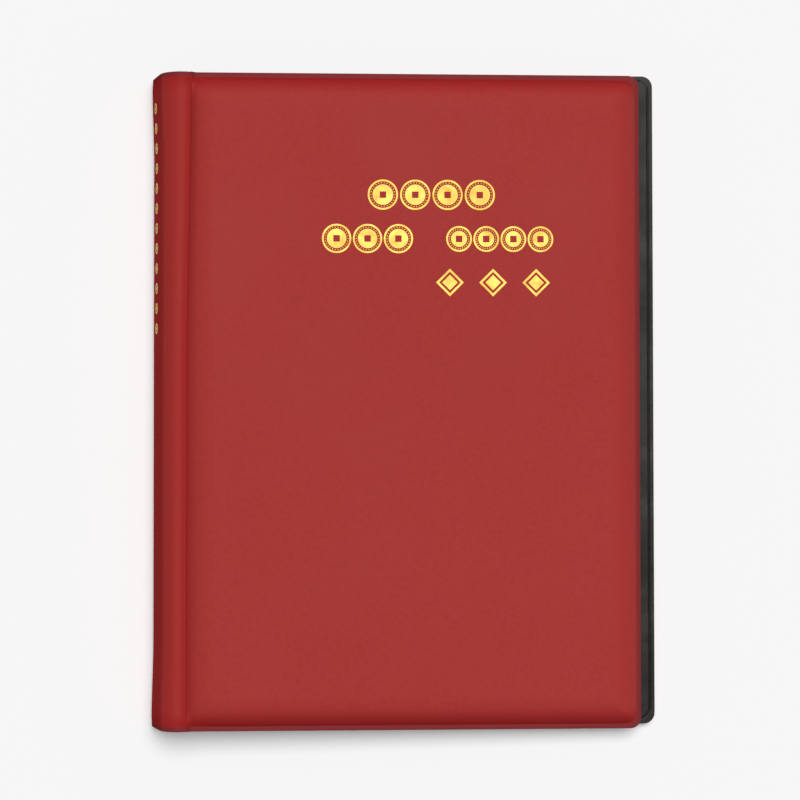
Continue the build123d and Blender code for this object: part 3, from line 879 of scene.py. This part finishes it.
def make_cover():
    """The two leatherette pieces and the two lining pieces."""
    front_skin = skin_piece("leatherette_front", skin_outline_front(), LEATHERETTE)
    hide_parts("front_cover_skin", "front_hinge_web", "spine_skin")
    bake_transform(front_skin)

    back_skin = skin_piece("leatherette_back", skin_outline_back(), LEATHERETTE)
    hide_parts("back_cover_skin", "back_hinge_web")
    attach(back_skin, "back_cover")
    rack(back_skin)

    front_lining = lining_piece("lining_front", lining_outline_front(), VINYL)
    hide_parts("front_lining", "spine_lining")
    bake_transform(front_lining)

    back_lining = lining_piece("lining_back", lining_outline_back(), VINYL)
    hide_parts("back_lining")
    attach(back_lining, "back_cover")
    rack(back_lining)

def make_fillings():
    """Board and foam of both panels, inside the skins."""
    sides = (
        ("front", skin_outline_front(), {"groove": GROOVE_X, "plane": front_plane}),
        ("back", skin_outline_back(), {"groove": BACK_GROOVE, "plane": back_plane}),
    )
    board_top = LINING_T + BOARD_T
    for name, outline, side in sides:
        board = filling(f"{name}_board_panel", outline, side, LINING_T, board_top, BOARD)
        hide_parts(f"{name}_board")
        foam = filling(f"{name}_foam_sheet", outline, side, board_top, None, FOAM)
        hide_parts(f"{name}_foam_pad")
        for piece in (board, foam):
            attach(piece, f"{name}_cover")
            if name == "back":
                rack(piece)

def make_leaves():
    """The five black sheets, each in one piece with its bending margin."""
    for number in range(1, LEAVES + 1):
        sheet = leaf_sheet(number, PAGE)
        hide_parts(f"leaf_{number}_core", f"leaf_{number}_hinge_web")
        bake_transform(sheet)

def finish_cad_nodes():
    """Materials for the CAD pieces that stay as they are."""
    by_slot = {
        "black_lining": VINYL,
        "black_sheet": PAGE_MARGIN,
        "clear_film": POCKET_FILM,
        "foam": FOAM,
        "gold_foil": FOIL,
        "greyboard": BOARD,
        "leatherette": LEATHERETTE,
        "spacer_card": CARD,
        "staple_wire": STEEL,
    }
    for part in record["subparts"]:
        node = frame["nodes"][part["node"]]
        material = FLAP_FILM if part["node"].endswith("flaps") else by_slot[part["material_slot"]]
        node.data.materials.clear()
        node.data.materials.append(material)

make_cover()
make_fillings()
make_stamping()
make_leaves()
finish_cad_nodes()

# ---------------------------------------------------------------- floor, light and camera

def make_floor():
    """A wide plain pale floor."""
    bpy.ops.mesh.primitive_plane_add(size=FLOOR_SIZE)
    floor = bpy.context.object
    floor.name = "floor"
    paper = Finish("studio_floor", (0.93, 0.93, 0.93, 1.0), 0.9, Specular_IOR_Level=0.1)
    floor.data.materials.append(paper.material)

def make_light(name, place, spread, strength):
    """A wide soft light from far off, over that place."""
    lamp = bpy.data.lights.new(name, "SUN")
    lamp.angle = spread
    lamp.energy = strength
    obj = bpy.data.objects.new(name, lamp)
    bpy.context.scene.collection.objects.link(obj)
    obj.rotation_euler = (-Vector(place)).to_track_quat("-Z", "Y").to_euler()

def make_camera():
    """Nearly straight down, a little from the foot of the album."""
    lens = bpy.data.cameras.new("camera")
    lens.lens = CAMERA_LENS
    lens.sensor_width = CAMERA_SENSOR
    camera = bpy.data.objects.new("camera", lens)
    bpy.context.scene.collection.objects.link(camera)
    camera.location = CAMERA_PLACE
    camera.rotation_euler = CAMERA_TURN
    bpy.context.scene.camera = camera

make_floor()
make_light("key", KEY_PLACE, KEY_SPREAD, KEY_STRENGTH)
make_camera()

world = bpy.data.worlds.new("studio")
world.use_nodes = True
world.node_tree.nodes["Background"].inputs["Color"].default_value = (1, 1, 1, 1)
world.node_tree.nodes["Background"].inputs["Strength"].default_value = WORLD_STRENGTH
bpy.context.scene.world = world
bpy.context.scene.view_settings.view_transform = "Standard"
